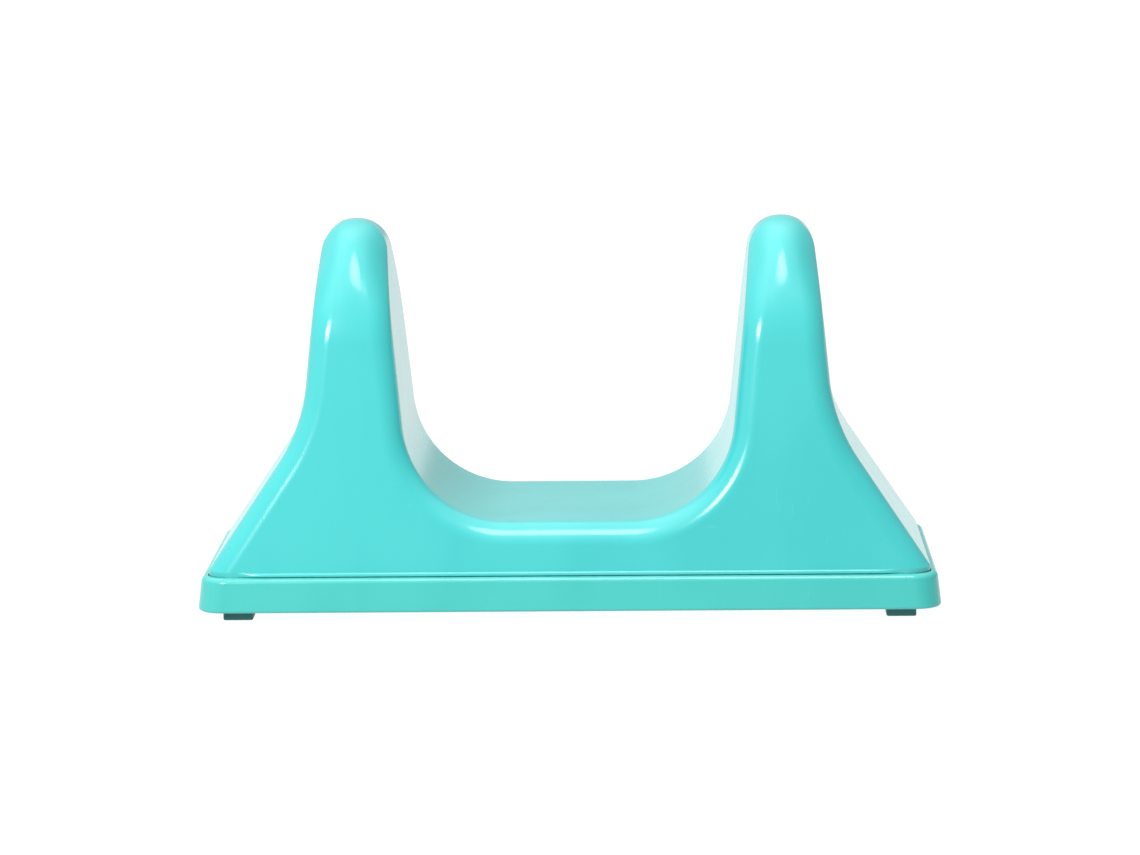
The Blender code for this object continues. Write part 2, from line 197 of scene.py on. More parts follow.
# the arcs of the right half, as centre, radius, first and last normal, steps
def outlineArcs():
    lean = saddle["peakLean"]
    foot = Vector((bodyLength, bodyFoot))
    bendHeight = bodyFoot + saddle["flankRise"]
    bend = Vector((peakSide(bendHeight, 1), bendHeight))
    slope = math.atan2(foot.x - bend.x, bend.y - foot.y)
    downhill = direction(slope - math.pi / 2)
    flankStart = bend + saddle["flankRadius"] * math.tan((slope - lean) / 2) * downhill
    flankMiddle = flankStart + saddle["flankRadius"] * direction(slope)
    cap = Vector((saddle["peakSpacing"] / 2, bodyTop - saddle["peakRadius"]))
    curveHeight = saddle["valleyHeight"] + saddle["valleyRadius"]
    curve = Vector((peakSide(curveHeight, -1) - saddle["valleyRadius"] / math.cos(lean), curveHeight))
    half = math.pi / 2
    return [
        (flankMiddle, -saddle["flankRadius"], slope, lean, saddle["flankSteps"]),
        (cap, saddle["peakRadius"], lean, math.pi - lean, saddle["capSteps"]),
        (curve, -saddle["valleyRadius"], math.pi - lean, half, saddle["valleySteps"]),
    ]


# an edge chain in the middle plane, from below the foot to the valley
def drawOutline(inset, detail):
    middle, radius, first, last, steps = outlineArcs()[0]
    here = middle + (radius - inset) * direction(first)
    run = (here.y - bodyFoot + 2 * saddle["edgeRadius"]) / math.cos(first)
    here += run * direction(first - math.pi / 2)
    bpy.ops.mesh.primitive_plane_add(size=0.01, location=(0, 0, 0))
    editMode()
    bpy.ops.mesh.select_mode(type="VERT")
    bpy.ops.mesh.select_all(action="SELECT")
    bpy.ops.mesh.merge(type="CENTER")
    bpy.ops.transform.translate(value=(here.x, 0, here.y))
    startHeight = here.y
    for middle, radius, first, last, steps in outlineArcs():
        step = middle + (radius - inset) * direction(first) - here
        if step.length > tiny:
            bpy.ops.mesh.extrude_region_move(TRANSFORM_OT_translate={"value": (step.x, 0, step.y)})
        bpy.ops.mesh.spin(steps=round(steps * detail), angle=last - first,
                          center=(middle.x, 0, middle.y), axis=(0, 1, 0))
        here = middle + (radius - inset) * direction(last)
    bpy.ops.mesh.extrude_region_move(TRANSFORM_OT_translate={"value": (-here.x, 0, 0)})
    return startHeight


def leanDepth(z, inset):        # half depth between the leaning faces
    return bodyDepth - inset - max(0, z - bodyFoot) * math.tan(saddle["faceLean"])


def domeDepth(z, inset):        # half depth with the fall towards the top of a peak
    topShare = (saddle["edgeRadius"] + saddle["ridgeHalfLength"]) / leanDepth(bodyTop, 0)
    drop = saddle["domeDrop"] / math.sqrt(1 - topShare ** 2) - inset
    rise = max(0, z - (bodyTop - saddle["domeDrop"]))
    return leanDepth(z, inset) * math.sqrt(max(0, 1 - (rise / drop) ** 2))


# what is left of the depth beside a peak's middle, where the tip rounds off
def crownLeft(place):
    climb = max(0, (place.z - bodyTop + saddle["domeDrop"]) / saddle["domeDrop"])
    aside = min(1, abs(place.x - saddle["peakSpacing"] / 2) / saddle["peakRadius"])
    return 1 - saddle["crownShare"] * climb ** 3 * aside ** 2


# a closed body; detail scales the number of rows
def makeSaddleBody(name, inset, floorHeight, detail):
    deselectAll()
    startHeight = drawOutline(inset, detail)
    piece = named(name)
    front = -(bodyDepth - inset)
    bpy.ops.mesh.select_all(action="SELECT")
    bpy.ops.mesh.extrude_region_move(TRANSFORM_OT_translate={"value": (0, front, 0)})
    pick(piece, "VERT", lambda co: co.y < front / 2 and abs(co.x) < tiny)
    bpy.ops.mesh.extrude_region_move(
        TRANSFORM_OT_translate={"value": (0, 0, startHeight - saddle["valleyHeight"] + inset)})
    pick(piece, "VERT", lambda co: co.y < front / 2)
    bpy.ops.mesh.edge_face_add()

    def onRim(a, b):
        level = abs(a.z - startHeight) < tiny and abs(b.z - startHeight) < tiny
        middle = abs(a.x) < tiny and abs(b.x) < tiny
        return a.y < front / 2 and b.y < front / 2 and not level and not middle

    pick(piece, "EDGE", onRim)
    bpy.ops.mesh.bevel(offset=saddle["edgeRadius"] - inset, segments=round(saddle["edgeSteps"] * detail),
                       profile=0.5, affect="EDGES", clamp_overlap=False)
    bpy.ops.mesh.select_all(action="SELECT")
    bpy.ops.mesh.bisect(plane_co=(0, 0, bodyFoot), plane_no=(0, 0, 1), clear_inner=True, threshold=tiny)
    if not inset:               # the bead runs along the foot, which gets a point every millimetre
        half = (bodyLength - saddle["edgeRadius"]) / 2
        pick(piece, "EDGE", lambda a, b: abs(a.y - b.y) < tiny and abs(a.z - bodyFoot) < tiny
             and abs(b.z - bodyFoot) < tiny and abs(a.x - b.x) > half)
        bpy.ops.mesh.subdivide(number_cuts=saddle["footCuts"])
        dropFoot(piece, front, beadSteps())
    dropFoot(piece, front, [(0, floorHeight)])
    roundFaces(piece, inset, detail)
    closeBody(piece, floorHeight)
    return piece


# how far the bead stands proud, and its level, from its top to its underside
def beadSteps():
    ease = saddle["beadEase"]
    steps = []
    for step in range(1, saddle["beadSteps"] + 1):
        turn = math.pi / 2 * step / saddle["beadSteps"]
        level = beadFoot + ease + (saddle["beadHeight"] - ease) * math.cos(turn)
        steps.append((saddle["beadProud"] * math.sin(turn), level))
    for inward, upward in saddle["beadEdge"]:
        steps.append((saddle["beadProud"] - inward * ease, beadFoot + upward * ease))
    return steps + [(0, beadFoot)]


# carries the foot edge down, step by step, and swells it along the bead
def dropFoot(piece, front, steps):
    fade = saddle["beadFade"]
    reach = bodyLength - saddle["edgeRadius"] - fade / 3
    objectMode()
    level = min(vertex.co.z for vertex in piece.data.vertices)
    editMode()
    for proud, nextLevel in steps:
        pick(piece, "EDGE", lambda a, b: abs(a.z - level) < tiny and abs(b.z - level) < tiny
             and abs(a.x - b.x) + abs(a.y - b.y) > tiny)
        bpy.ops.mesh.extrude_region_move(TRANSFORM_OT_translate={"value": (0, 0, nextLevel - level)})
        objectMode()
        for vertex in piece.data.vertices:
            if abs(vertex.co.z - nextLevel) < tiny and vertex.co.y < front + saddle["beadProud"] + tiny:
                onFlat = vertex.co.x < bodyLength - saddle["edgeRadius"] + tiny
                share = min(1, max(0, (reach - vertex.co.x) / fade))
                share = share * share * (3 - 2 * share)
                vertex.co.y = front - proud * share if onFlat else vertex.co.y
        level = nextLevel
        editMode()


# level rows through the peaks, then the faces lean in and round over
def roundFaces(piece, inset, detail):
    rows = round(saddle["domeRows"] * detail)
    for row in range(rows):
        climb = (saddle["domeDrop"] - inset) * math.sin(math.pi / 2 * row / rows)
        height = bodyTop - saddle["domeDrop"] + climb
        bpy.ops.mesh.select_all(action="SELECT")
        bpy.ops.mesh.bisect(plane_co=(0, 0, height), plane_no=(0, 0, 1), threshold=tiny)
    columns = saddle["crownColumns"]
    reach = saddle["peakRadius"] - saddle["edgeRadius"]
    low = bodyTop - saddle["domeDrop"]
    for column in range(columns):
        x = saddle["peakSpacing"] / 2 + reach * (2 * (column + 1) / (columns + 1) - 1)
        pick(piece, "FACE", lambda centre, normal: centre.z > low)
        bpy.ops.mesh.bisect(plane_co=(x, 0, 0), plane_no=(1, 0, 0), threshold=tiny)
    objectMode()
    for vertex in piece.data.vertices:
        if vertex.co.y < -tiny:
            depth = domeDepth(vertex.co.z, inset) - bodyDepth + inset - vertex.co.y
            vertex.co.y = -depth * crownLeft(vertex.co)


def closeBody(piece, floorHeight):      # mirrors the quarter twice, then closes the underside
    applyModifier(piece, "MIRROR", use_axis=(True, True, False), use_clip=True, merge_threshold=tiny * 10)
    editMode()
    bpy.ops.mesh.select_all(action="SELECT")
    bpy.ops.mesh.remove_doubles(threshold=tiny * 10)
    pick(piece, "EDGE", lambda a, b: abs(a.z - floorHeight) < tiny and abs(b.z - floorHeight) < tiny)
    bpy.ops.mesh.edge_face_add()
    bpy.ops.mesh.select_all(action="SELECT")
    bpy.ops.mesh.normals_make_consistent(inside=False)
    objectMode()


shell = makeSaddleBody("saddle_shell", 0, shellLow.z, 1)
print("shell body", len(shell.data.vertices), "points")

# ---- ribs, screw bosses and the hollow of the shell ----

inside = {
    "wall": 0.003,
    "ribThickness": 0.0024,
    "ribSpacing": 0.038,        # between the two long ribs
    "ribClearance": 0.0025,     # ribs end this far above the tray's pads
    "bossRadius": 0.0042,
    "peakBossTop": 0.062,
    "screwEndInset": 0.0288,    # corner screws, from the tray's end
    "screwFaceInset": 0.0225,   # and from its front or back
    "padHeight": 0.004,
    "padRadius": 0.0058,
    "trayFloor": 0.003,
    "detail": 0.5,
}

padTop = trayLow.z + inside["trayFloor"] + inside["padHeight"]
screwX = trayHigh.x - inside["screwEndInset"]
screwY = trayHigh.y - inside["screwFaceInset"]
peakX = saddle["peakSpacing"] / 2
ribY = inside["ribSpacing"] / 2
ribXs = (-screwX, -peakX, 0, peakX, screwX)
screwPlaces = {"valley_front": (0, -screwY), "valley_back": (0, screwY)}
for endName, endSign in (("left", -1), ("right", 1)):
    for faceName, faceSign in (("front", -1), ("back", 1)):
        screwPlaces["corner_" + faceName + "_" + endName] = (endSign * screwX, faceSign * screwY)
        screwPlaces["peak_" + faceName + "_" + endName] = (endSign * peakX, faceSign * ribY)


def addBlock(name, low, high):
    deselectAll()
    bpy.ops.mesh.primitive_cube_add(size=1, location=[(a + b) / 2 for a, b in zip(low, high)],
                                    scale=[b - a for a, b in zip(low, high)])
    bpy.ops.object.transform_apply(location=True, rotation=True, scale=True)
    return named(name)


def addPost(name, place, radius, low, high, sides=48):
    deselectAll()
    bpy.ops.mesh.primitive_cylinder_add(vertices=sides, radius=radius, depth=high - low,
                                        location=(place[0], place[1], (low + high) / 2))
    bpy.ops.object.transform_apply(location=True, rotation=True, scale=True)
    return named(name)


def addSquare(name, place, half, low, high):    # an upright square block with round corners
    x, y = place
    piece = addBlock(name, (x - half, y - half, low), (x + half, y + half, high))
    editMode()
    pick(piece, "EDGE", lambda a, b: abs(a.z - b.z) > tiny)
    bpy.ops.mesh.bevel(offset=footPad["corner"], segments=8, profile=0.5, affect="EDGES")
    objectMode()
    return piece


def makeCavity():
    wall, half = inside["wall"], inside["ribThickness"] / 2
    cavity = makeSaddleBody("shell_hollow", wall, shellLow.z - wall, inside["detail"])
    low = padTop + inside["ribClearance"]
    ribs = [addBlock("long_rib", (-bodyLength, y - half, low), (bodyLength, y + half, bodyTop))
            for y in (-ribY, ribY)]
    ribs += [addBlock("cross_rib", (x - half, -bodyDepth, low), (x + half, bodyDepth, bodyTop))
             for x in ribXs]
    for name, place in screwPlaces.items():
        top = inside["peakBossTop"] if name.startswith("peak") else bodyTop
        ribs.append(addPost("boss_" + name, place, inside["bossRadius"], padTop + fitGap, top))
    cutOrJoin(cavity, "DIFFERENCE", ribs)
    return cavity


def mendSurface(piece):         # closes the pinholes that cutting can leave, and turns every face out
    makeActive(piece)
    editMode()
    bpy.ops.mesh.select_mode(type="VERT")
    bpy.ops.mesh.select_all(action="SELECT")
    bpy.ops.mesh.remove_doubles(threshold=tiny * 20)
    bpy.ops.mesh.fill_holes(sides=12)
    bpy.ops.mesh.normals_make_consistent(inside=False)
    objectMode()


def shadeEven(piece, angle=math.radians(40)):       # smooth rounds, flat faces that stay flat
    makeActive(piece)
    bpy.ops.object.shade_smooth_by_angle(angle=angle)
    applyModifier(piece, "WEIGHTED_NORMAL", keep_sharp=True, weight=50)


cutOrJoin(shell, "DIFFERENCE", [makeCavity()])
mendSurface(shell)
shadeEven(shell)
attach(shell, "root")
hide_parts("upper_shell")
print("hollow shell", len(shell.data.vertices), "points")

# ---- sizes that the base tray is cut for ----

screw = {
    "headRadius": 0.0034,
    "headHeight": 0.0021,
    "headRound": 0.7,           # share of the head's height that its round edge takes
    "shankRadius": 0.0015,
    "threadDepth": 0.0003,
    "threadPitch": 0.0011,
    "shankLength": 0.014,
    "tipLength": 0.002,
    "tipShare": 0.2,            # width left at the tip
    "crossWidth": 0.0008,
    "crossLength": 0.0038,
    "crossDepth": 0.0011,
    "crossShare": 0.6,          # width left at the bottom of the cross
    "sides": 40,
}

footPad = {
    "size": 0.0118,
    "corner": 0.0012,
    "embed": 0.0006,            # how far the pad goes up into its recess
    "edge": 0.0005,
    "grooveInset": 0.0020,
    "grooveWidth": 0.0008,
    "grooveDepth": 0.0006,
}

adhesivePad = {
    "thickness": 0.0005,
    "inset": 0.0006,
}

# ---- the base tray ----

tray = {
    "cornerRadius": 0.0107,
    "cornerSteps": 20,
    "rimRadius": 0.0022,        # round over of the rim's outer edge
    "rimDraft": 0.0016,         # the outer wall leans in by this much towards the rim
    "rimSteps": 10,
    "rimWall": 0.0040,
    "footEdge": 0.0012,
    "footSteps": 4,
    "ledgeDepth": 0.0054,
    "ledgeWidth": 0.0042,
    "headClearance": 0.0005,
    "seatThickness": 0.0034,
}

footHeight = trayLow.z
footPlaces = {}
for endName in ("left", "right"):
    for faceName in ("front", "back"):
        low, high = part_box("foot_pad_" + faceName + "_" + endName)
        footPlaces[faceName + "_" + endName] = ((low.x + high.x) / 2, (low.y + high.y) / 2)


def makeTray():
    piece = addBlock("base_tray_moulding", trayLow, trayHigh)
    editMode()
    pick(piece, "EDGE", lambda a, b: abs(a.z - b.z) > tiny)
    bpy.ops.mesh.bevel(offset=tray["cornerRadius"], segments=tray["cornerSteps"],
                       profile=0.5, affect="EDGES")
    pick(piece, "FACE", lambda centre, normal: normal.z > 0.9)
    shrink = [1 - tray["rimDraft"] / trayHigh.x, 1 - tray["rimDraft"] / trayHigh.y, 1]
    bpy.ops.transform.resize(value=shrink, center_override=(0, 0, 0))
    pick(piece, "EDGE", lambda a, b: min(a.z, b.z) > trayHigh.z - tiny)
    bpy.ops.mesh.bevel(offset=tray["rimRadius"], segments=tray["rimSteps"], profile=0.5, affect="EDGES")
    pick(piece, "EDGE", lambda a, b: max(a.z, b.z) < trayLow.z + tiny)
    bpy.ops.mesh.bevel(offset=tray["footEdge"], segments=tray["footSteps"], profile=0.5, affect="EDGES")
    pick(piece, "FACE", lambda centre, normal: normal.z > 0.999 and centre.z > trayHigh.z - tiny)
    bpy.ops.mesh.inset(thickness=tray["rimWall"] - tray["rimDraft"] - tray["rimRadius"])
    bpy.ops.mesh.extrude_region_move(TRANSFORM_OT_translate={"value": (0, 0, -tray["ledgeDepth"])})
    bpy.ops.mesh.inset(thickness=tray["ledgeWidth"])
    floorDrop = trayHigh.z - tray["ledgeDepth"] - trayLow.z - inside["trayFloor"]
    bpy.ops.mesh.extrude_region_move(TRANSFORM_OT_translate={"value": (0, 0, -floorDrop)})
    objectMode()
    return piece


def trayRibs():
    reachX = trayHigh.x - tray["rimWall"] - tray["ledgeWidth"] / 2
    reachY = trayHigh.y - tray["rimWall"] - tray["ledgeWidth"] / 2
    half = inside["ribThickness"] / 2
    low = trayLow.z + inside["trayFloor"] / 2
    ribs = [addBlock("tray_rib", (-reachX, y - half, low), (reachX, y + half, padTop))
            for y in (-ribY, ribY)]
    ribs += [addBlock("tray_rib", (x - half, -reachY, low), (x + half, reachY, padTop))
             for x in ribXs]
    ribs += [addPost("tray_pad", place, inside["padRadius"], low, padTop)
             for place in screwPlaces.values()]
    return ribs


def trayHoles():
    below = trayLow.z - inside["trayFloor"]
    seat = padTop - tray["seatThickness"]
    headHole = screw["headRadius"] + tray["headClearance"]
    shankHole = screw["shankRadius"] + fitGap
    footTop = trayLow.z + footPad["embed"] + adhesivePad["thickness"] + 2 * fitGap
    holes = [addPost("head_hole", place, headHole, below, seat)
             for place in screwPlaces.values()]
    holes += [addPost("shank_hole", place, shankHole, below, padTop + fitGap)
              for place in screwPlaces.values()]
    holes += [addSquare("foot_recess", place, footPad["size"] / 2 + fitGap, below, footTop)
              for place in footPlaces.values()]
    return holes


trayPiece = makeTray()
cutOrJoin(trayPiece, "UNION", trayRibs())
cutOrJoin(trayPiece, "DIFFERENCE", trayHoles())
mendSurface(trayPiece)
shadeEven(trayPiece)
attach(trayPiece, "root")
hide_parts("base_tray")
print("base tray", len(trayPiece.data.vertices), "points")

# ---- foot pads ----

def makeFootPad():
    half, top = footPad["size"] / 2, footHeight + footPad["embed"]
    piece = addSquare("foot_pad_pattern", (0, 0), half, 0, top)
    editMode()
    pick(piece, "EDGE", lambda a, b: max(a.z, b.z) < tiny)
    bpy.ops.mesh.bevel(offset=footPad["edge"], segments=4, profile=0.5, affect="EDGES")
    pick(piece, "FACE", lambda centre, normal: normal.z < -0.99)
    outer = half - footPad["grooveInset"]
    inner = outer - footPad["grooveWidth"]
    steps = ((outer / (half - footPad["edge"]), 0), (1, footPad["grooveDepth"]),
             (inner / outer, 0), (1, -footPad["grooveDepth"]))
    for size, climb in steps:   # in along the underside, up into the groove, across it and down again
        bpy.ops.mesh.extrude_region_move(TRANSFORM_OT_translate={"value": (0, 0, climb)})
        bpy.ops.transform.resize(value=(size, size, 1), center_override=(0, 0, 0))
    pick(piece, "EDGE", lambda a, b: min(a.z, b.z) > top - tiny)
    bpy.ops.mesh.bevel(offset=footPad["edge"] / 2, segments=2, profile=0.5, affect="EDGES")
    objectMode()
    shadeEven(piece)
    return piece


def makeAdhesive():             # a thin pad with a soft pressed edge, between the foot and its recess
    low = footHeight + footPad["embed"] + fitGap
    piece = addSquare("adhesive_pattern", (0, 0), footPad["size"] / 2 - adhesivePad["inset"],
                      low, low + adhesivePad["thickness"])
    editMode()
    pick(piece, "EDGE", lambda a, b: abs(a.z - b.z) < tiny)
    bpy.ops.mesh.bevel(offset=adhesivePad["thickness"] / 4, segments=3, profile=0.5, affect="EDGES")
    objectMode()
    shadeEven(piece)
    return piece


# a copy with its own mesh, its place baked into the mesh
def copyTo(pattern, name, place, height=0):
    deselectAll()
    copy = pattern.copy()
    copy.data = pattern.data.copy()
    bpy.context.scene.collection.objects.link(copy)
    copy.name = name
    copy.data.name = name
    copy.location = (place[0], place[1], height)
    makeActive(copy)
    bpy.ops.object.transform_apply(location=True, rotation=True, scale=True)
    return copy


footPattern = makeFootPad()
footPieces = []
for name, place in footPlaces.items():
    piece = copyTo(footPattern, "rubber_foot_" + name, place)
    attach(piece, "root")
    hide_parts("foot_pad_" + name)
    footPieces.append(piece)
bpy.data.objects.remove(footPattern, do_unlink=True)

adhesivePattern = makeAdhesive()
adhesivePieces = []
for name, place in footPlaces.items():
    piece = copyTo(adhesivePattern, "adhesive_square_" + name, place)
    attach(piece, "root")
    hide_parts("adhesive_pad_" + name)
    adhesivePieces.append(piece)
bpy.data.objects.remove(adhesivePattern, do_unlink=True)
print("foot pads", len(footPieces), "adhesive pads", len(adhesivePieces))

# ---- case screws ----

def makeScrew():                # stands on the seat under its head, which hangs below zero
    head = addPost("screw_pattern", (0, 0), screw["headRadius"], -screw["headHeight"], 0, screw["sides"])
    editMode()
    pick(head, "EDGE", lambda a, b: max(a.z, b.z) < -screw["headHeight"] + tiny)
    bpy.ops.mesh.bevel(offset=screw["headHeight"] * screw["headRound"], segments=8,
                       profile=0.5, affect="EDGES")
    pick(head, "FACE", lambda centre, normal: normal.z > 0.99)
    bpy.ops.mesh.inset(thickness=screw["headRadius"] - screw["shankRadius"])
    rings = round(screw["shankLength"] / screw["threadPitch"] * 2)
    rise = screw["shankLength"] / rings
    root = (screw["shankRadius"] - screw["threadDepth"]) / screw["shankRadius"]
    for ring in range(rings):   # the thread's crests and roots, ring by ring
        size = root if ring % 2 == 0 else 1 / root
        bpy.ops.mesh.extrude_region_move(TRANSFORM_OT_translate={"value": (0, 0, rise)})
        bpy.ops.transform.resize(value=(size, size, 1), center_override=(0, 0, 0))
    bpy.ops.mesh.extrude_region_move(TRANSFORM_OT_translate={"value": (0, 0, screw["tipLength"])})
    bpy.ops.transform.resize(value=(screw["tipShare"], screw["tipShare"], 1), center_override=(0, 0, 0))
    objectMode()
    low, high = -screw["headHeight"] - screw["crossDepth"], -screw["headHeight"] + screw["crossDepth"]
    long, wide = screw["crossLength"] / 2, screw["crossWidth"] / 2
    bars = [addBlock("cross_bar", (-long, -wide, low), (long, wide, high)),
            addBlock("cross_bar", (-wide, -long, low), (wide, long, high))]
    for bar in bars:            # the cross narrows towards its bottom
        makeActive(bar)
        editMode()
        pick(bar, "FACE", lambda centre, normal: normal.z > 0.9)
        bpy.ops.transform.resize(value=(screw["crossShare"], screw["crossShare"], 1),
                                 center_override=(0, 0, 0))
        objectMode()
    cutOrJoin(head, "DIFFERENCE", bars)
    mendSurface(head)
    shadeEven(head, math.radians(35))
    return head


screwPattern = makeScrew()
seatHeight = padTop - tray["seatThickness"] - fitGap
screwPieces = []
for name, place in screwPlaces.items():
    piece = copyTo(screwPattern, "case_screw_" + name, place, seatHeight)
    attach(piece, "root")
    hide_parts("screw_" + name)
    screwPieces.append(piece)
bpy.data.objects.remove(screwPattern, do_unlink=True)
print("case screws", len(screwPieces))

# ---- finishes ----

finish = {
    "shell": {
        "colour": (0.048, 0.425, 0.420), "deepColour": (0.040, 0.400, 0.398), "roughness": 0.17,
        "grainScale": 900, "grainDepth": 0.0000025, "flowDepth": 0.00001,
        "scuffs": 0.04, "dust": 0.04, "edgeWear": 0.03,
    },
    "tray": {
        "colour": (0.047, 0.405, 0.372), "deepColour": (0.040, 0.382, 0.352), "roughness": 0.20,
        "grainScale": 900, "grainDepth": 0.0000035, "flowDepth": 0.000008,
        "scuffs": 0.06, "dust": 0.05, "edgeWear": 0.04,
    },
    # dark rubber colour of the feet, darkened further with painted shade from under the tray
    "rubber": {
        "colour": (0.010, 0.120, 0.118), "deepColour": (0.006, 0.090, 0.092), "roughness": 0.55,
        "grainScale": 2600, "grainDepth": 0.00002, "flowDepth": 0.0,
        "scuffs": 0.12, "dust": 0.08, "edgeWear": 0.15,
    },
    "steel": {
        "colour": (0.62, 0.63, 0.64), "deepColour": (0.50, 0.52, 0.55), "roughness": 0.3,
        "grainScale": 3200, "grainDepth": 0.000004, "flowDepth": 0.0,
        "scuffs": 0.35, "dust": 0.05, "edgeWear": 0.4,
    },
    "adhesive": {
        "colour": (0.80, 0.78, 0.70), "deepColour": (0.70, 0.66, 0.56), "roughness": 0.55,
        "grainScale": 1800, "grainDepth": 0.00003, "flowDepth": 0.0,
        "scuffs": 0.1, "dust": 0.05, "edgeWear": 0.1,
    },
}
dustColour = (0.62, 0.60, 0.56)
seamReach = 0.0007              # dust gathers this close to the seam
paleShare = 0.5                 # worn plastic is this much nearer to white
roughening = {"grain": 0.04, "smears": 0.35, "dust": 0.6}


def startGroup(name, inputs, outputs):      # a node group with its sockets, and its two end nodes
    group = bpy.data.node_groups.new(name, "ShaderNodeTree")
    for label, kind, value in inputs:
        socket = group.interface.new_socket(name=label, in_out="INPUT", socket_type=kind)
        socket.default_value = value
    for label, kind in outputs:
        group.interface.new_socket(name=label, in_out="OUTPUT", socket_type=kind)
    return group, group.nodes.new("NodeGroupInput"), group.nodes.new("NodeGroupOutput")


def feed(tree, source, target):             # links an output to an input, or writes a plain value in it
    if isinstance(source, bpy.types.NodeSocket):
        tree.links.new(source, target)
    else:
        target.default_value = source


def maths(tree, operation, a, b=0.0, clamp=False):
    node = tree.nodes.new("ShaderNodeMath")
    node.operation = operation
    node.use_clamp = clamp
    feed(tree, a, node.inputs[0])
    feed(tree, b, node.inputs[1])
    return node.outputs[0]


def ramp(tree, value, low, high, toLow=0.0, toHigh=1.0):
    node = tree.nodes.new("ShaderNodeMapRange")
    node.interpolation_type = "SMOOTHSTEP"
    feed(tree, value, node.inputs["Value"])
    for label, number in (("From Min", low), ("From Max", high), ("To Min", toLow), ("To Max", toHigh)):
        feed(tree, number, node.inputs[label])
    return node.outputs["Result"]


def noise(tree, place, scale, detail=2.0, stretch=(1, 1, 1)):
    spread = tree.nodes.new("ShaderNodeMapping")
    spread.inputs["Scale"].default_value = stretch
    tree.links.new(place, spread.inputs["Vector"])
    node = tree.nodes.new("ShaderNodeTexNoise")
    tree.links.new(spread.outputs["Vector"], node.inputs["Vector"])
    feed(tree, scale, node.inputs["Scale"])
    node.inputs["Detail"].default_value = detail
    return node.outputs["Fac"]


def objectPlace(tree):
    return tree.nodes.new("ShaderNodeTexCoord").outputs["Object"]


# the moulded skin: colour streaks of the pigment, slow sink marks and a fine grain
def makeMouldGrain():
    group, start, end = startGroup("mould_grain", [
        ("Grain Scale", "NodeSocketFloat", 900.0), ("Grain Depth", "NodeSocketFloat", 0.000003),
        ("Flow Depth", "NodeSocketFloat", 0.00001)],
        [("Streaks", "NodeSocketFloat"), ("Grain", "NodeSocketFloat"), ("Height", "NodeSocketFloat")])
    place = objectPlace(group)
    streaks = ramp(group, noise(group, place, 26.0, 3.0, (1, 1, 0.35)), 0.35, 0.68)
    grain = noise(group, place, start.outputs["Grain Scale"], 2.0)
    flow = noise(group, place, 34.0, 1.0)
    fine = maths(group, "MULTIPLY", grain, start.outputs["Grain Depth"])
    slow = maths(group, "MULTIPLY", flow, start.outputs["Flow Depth"])
    group.links.new(streaks, end.inputs["Streaks"])
    group.links.new(grain, end.inputs["Grain"])
    group.links.new(maths(group, "ADD", fine, slow), end.inputs["Height"])
    return group


def makeHandlingWear():     # hairline scuffs, and the dull patches that hands leave
    group, start, end = startGroup("handling_wear", [("Amount", "NodeSocketFloat", 0.1)],
                                   [("Scuffs", "NodeSocketFloat"), ("Smears", "NodeSocketFloat")])
    place = objectPlace(group)
    along = ramp(group, noise(group, place, 420.0, 2.0, (0.10, 1, 1)), 0.68, 0.78)
    across = ramp(group, noise(group, place, 380.0, 2.0, (1, 1, 0.14)), 0.68, 0.78)
    patches = ramp(group, noise(group, place, 16.0, 2.0), 0.50, 0.66)
    lines = maths(group, "MAXIMUM", along, across)
    scuffs = maths(group, "MULTIPLY", maths(group, "MULTIPLY", lines, patches), start.outputs["Amount"])
    group.links.new(scuffs, end.inputs["Scuffs"])
    smears = ramp(group, noise(group, place, 48.0, 3.0), 0.42, 0.72)
    group.links.new(maths(group, "MULTIPLY", smears, start.outputs["Amount"]), end.inputs["Smears"])
    return group


def makeSettledDust():      # dust that lies on what faces up and gathers where two pieces meet
    group, start, end = startGroup("settled_dust", [
        ("Amount", "NodeSocketFloat", 0.1), ("Seam Height", "NodeSocketFloat", 0.0),
        ("Seam Reach", "NodeSocketFloat", 0.001)], [("Dust", "NodeSocketFloat")])
    geometry = group.nodes.new("ShaderNodeNewGeometry")
    place = objectPlace(group)
    parts = group.nodes.new("ShaderNodeSeparateXYZ")
    group.links.new(geometry.outputs["Normal"], parts.inputs["Vector"])
    heights = group.nodes.new("ShaderNodeSeparateXYZ")
    group.links.new(place, heights.inputs["Vector"])
    facingUp = ramp(group, parts.outputs["Z"], 0.75, 1.0, 0.0, 0.35)
    off = maths(group, "SUBTRACT", heights.outputs["Z"], start.outputs["Seam Height"])
    off = maths(group, "ABSOLUTE", off)
    off = maths(group, "DIVIDE", off, start.outputs["Seam Reach"])
    seam = maths(group, "SUBTRACT", 1.0, off, clamp=True)
    specks = ramp(group, noise(group, place, 420.0, 4.0), 0.40, 0.75)
    lying = maths(group, "MULTIPLY", maths(group, "ADD", facingUp, seam), specks)
    dust = maths(group, "MULTIPLY", lying, start.outputs["Amount"], clamp=True)
    group.links.new(dust, end.inputs["Dust"])
    return group


def makeEdgeWear():         # rubbed brighter where the surface turns sharply outwards
    group, start, end = startGroup("edge_wear", [("Amount", "NodeSocketFloat", 0.1)],
                                   [("Wear", "NodeSocketFloat")])
    geometry = group.nodes.new("ShaderNodeNewGeometry")
    edge = ramp(group, geometry.outputs["Pointiness"], 0.53, 0.62)
    broken = ramp(group, noise(group, objectPlace(group), 120.0, 4.0), 0.35, 0.70)
    worn = maths(group, "MULTIPLY", edge, broken)
    group.links.new(maths(group, "MULTIPLY", worn, start.outputs["Amount"]), end.inputs["Wear"])
    return group


effects = {"mould_grain": makeMouldGrain(), "handling_wear": makeHandlingWear(),
           "settled_dust": makeSettledDust(), "edge_wear": makeEdgeWear()}


